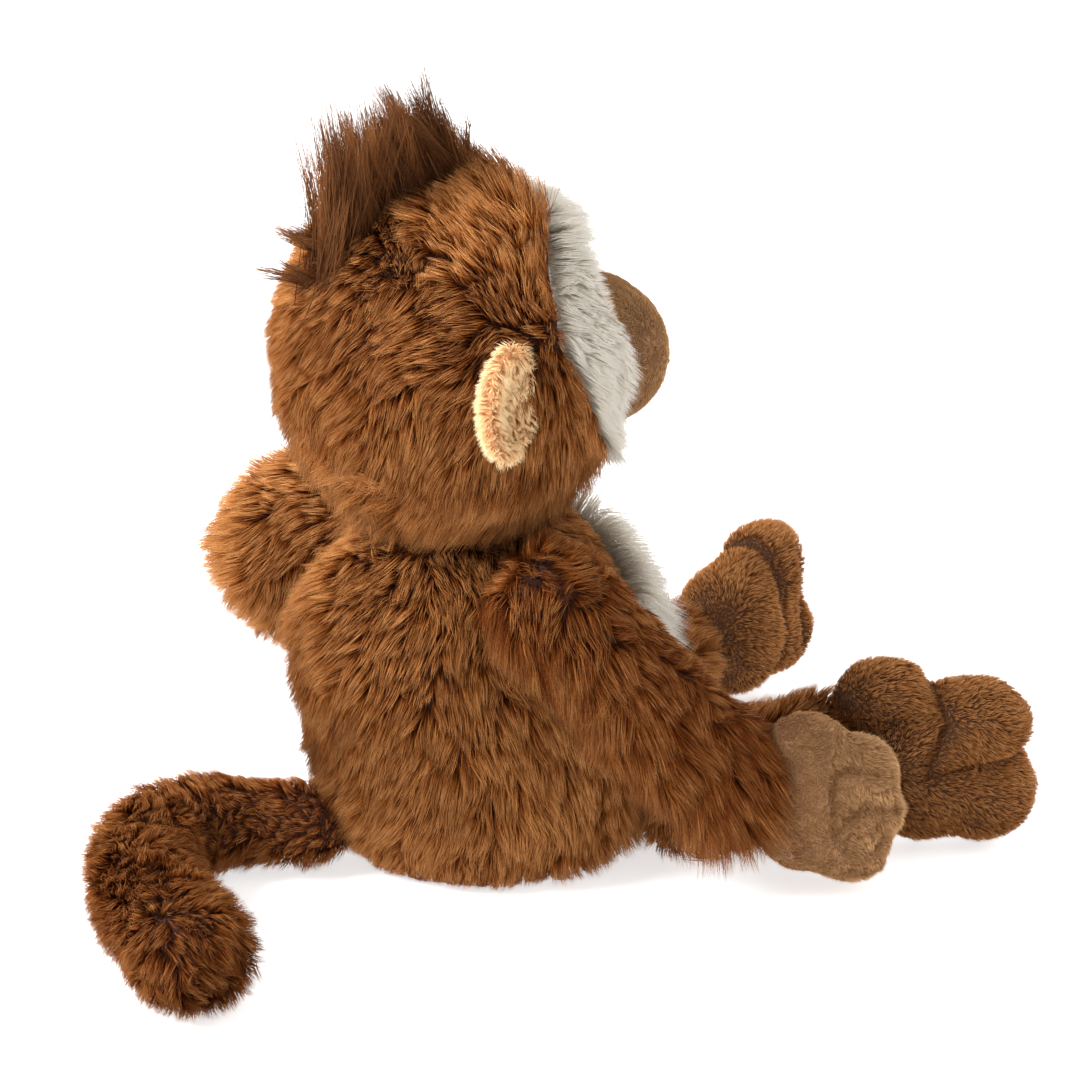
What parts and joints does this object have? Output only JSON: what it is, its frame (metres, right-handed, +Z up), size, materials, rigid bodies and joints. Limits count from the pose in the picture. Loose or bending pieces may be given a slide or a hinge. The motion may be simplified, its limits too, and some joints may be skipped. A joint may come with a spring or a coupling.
{
  "type": "stuffed monkey",
  "caption": "Seated long-haired plush monkey with a white face and chest, tan muzzle, hands and feet, a crest of hair, cupped ears and a curled tail.",
  "frame": {"origin": "middle of the flat seat, on the surface the monkey sits on", "axes": "+Z up, the monkey faces -Y and its right side is -X"},
  "size_m": [0.1983, 0.3037, 0.238],
  "materials": {
    "brown_pile": "long combed brown pile on knit backing, pale at the tips",
    "white_pile": "long off-white pile",
    "tan_velour": "short dense tan velour",
    "foot_velour": "short dark tan plush, knit showing at the sole",
    "ear_plush": "medium curly peach plush",
    "tuft_hair": "long straight dark brown mohair with a slight gloss",
    "fibre_fill": "loose polyester fibre",
    "lining": "plain woven cotton",
    "pellet_plastic": "small smooth beads",
    "thread": "satin-stitched dark brown embroidery thread",
    "seam_thread": "strong brown sewing thread over gathered fabric",
    "eye_plastic": "polished dark brown",
    "washer_plastic": "natural moulded plastic"
  },
  "bodies": {
    "torso": {"body_skin": "brown_pile", "belly_panel": "white_pile", "body_stuffing": "fibre_fill", "pellet_bag": "lining", "pellets": "pellet_plastic"},
    "neck": {"neck_seam": "seam_thread"},
    "head": {"head_skin": "brown_pile", "face_frame": "white_pile", "face_patch": "tan_velour", "head_stuffing": "fibre_fill", "muzzle_skin": "tan_velour", "muzzle_stuffing": "fibre_fill", "nose_patch": "thread", "mouth_stitch": "thread", "eye_left": "eye_plastic", "eye_right": "eye_plastic", "eye_washer_left": "washer_plastic", "eye_washer_right": "washer_plastic", "hair_tuft": "tuft_hair"},
    "ear_left": {"ear_back_left": "ear_plush", "ear_front_left": "ear_plush"},
    "arm_left": {"arm_left_skin": "brown_pile", "arm_left_stuffing": "fibre_fill", "hand_left_skin": "tan_velour", "hand_left_stuffing": "fibre_fill"},
    "leg_left": {"leg_left_skin": "brown_pile", "leg_left_stuffing": "fibre_fill", "foot_left_skin": "foot_velour", "foot_left_stuffing": "fibre_fill"},
    "ear_right": {"ear_back_right": "ear_plush", "ear_front_right": "ear_plush"},
    "arm_right": {"arm_right_skin": "brown_pile", "arm_right_stuffing": "fibre_fill", "hand_right_skin": "tan_velour", "hand_right_stuffing": "fibre_fill"},
    "leg_right": {"leg_right_skin": "brown_pile", "leg_right_stuffing": "fibre_fill", "foot_right_skin": "foot_velour", "foot_right_stuffing": "fibre_fill"},
    "tail_base": {"tail_base_skin": "brown_pile", "tail_base_stuffing": "fibre_fill"},
    "tail_end": {"tail_end_skin": "brown_pile", "tail_end_stuffing": "fibre_fill"}
  },
  "joints": [
    {"name": "head_turn", "type": "hinge", "parent": "torso", "child": "neck", "pos_m": [0, 0, 0.108], "axis": [0, 0, 1], "range_deg": [-35, 35], "stiffness_Nm_per_rad": 0.6},
    {"name": "head_nod", "type": "hinge", "parent": "neck", "child": "head", "pos_m": [0, 0, 0.11], "axis": [1, 0, 0], "range_deg": [-15, 15], "stiffness_Nm_per_rad": 0.8},
    {"name": "ear_left_fold", "type": "hinge", "parent": "head", "child": "ear_left", "pos_m": [0.0505, 0.006, 0.1605], "axis": [0, 0, 1], "range_deg": [-15, 7], "stiffness_Nm_per_rad": 0.02},
    {"name": "ear_right_fold", "type": "hinge", "parent": "head", "child": "ear_right", "pos_m": [-0.0505, 0.006, 0.1605], "axis": [0, 0, 1], "range_deg": [-7, 15], "stiffness_Nm_per_rad": 0.02},
    {"name": "shoulder_left", "type": "hinge", "parent": "torso", "child": "arm_left", "pos_m": [0.047, 0.006, 0.097], "axis": [-0.3284, -0.9254, 0.1891], "range_deg": [-15, 50], "stiffness_Nm_per_rad": 0.2},
    {"name": "shoulder_right", "type": "hinge", "parent": "torso", "child": "arm_right", "pos_m": [-0.047, 0, 0.097], "axis": [-0.5475, 0.7068, -0.448], "range_deg": [0, 50], "stiffness_Nm_per_rad": 0.2},
    {"name": "hip_left", "type": "hinge", "parent": "torso", "child": "leg_left", "pos_m": [0.031, -0.058, 0.0176], "axis": [-0.866, -0.5, 0], "range_deg": [0, 40], "stiffness_Nm_per_rad": 0.25},
    {"name": "hip_right", "type": "hinge", "parent": "torso", "child": "leg_right", "pos_m": [-0.031, -0.058, 0.0176], "axis": [-0.866, 0.5, 0], "range_deg": [0, 40], "stiffness_Nm_per_rad": 0.25},
    {"name": "tail_root_swing", "type": "hinge", "parent": "torso", "child": "tail_base", "pos_m": [0.008, 0.053, 0.016], "axis": [0, 0, 1], "range_deg": [-20, 20], "stiffness_Nm_per_rad": 0.1},
    {"name": "tail_curl", "type": "hinge", "parent": "tail_base", "child": "tail_end", "pos_m": [0.012, 0.1, 0.0173], "axis": [0, 0, 1], "range_deg": [-30, 30], "stiffness_Nm_per_rad": 0.05}
  ]
}
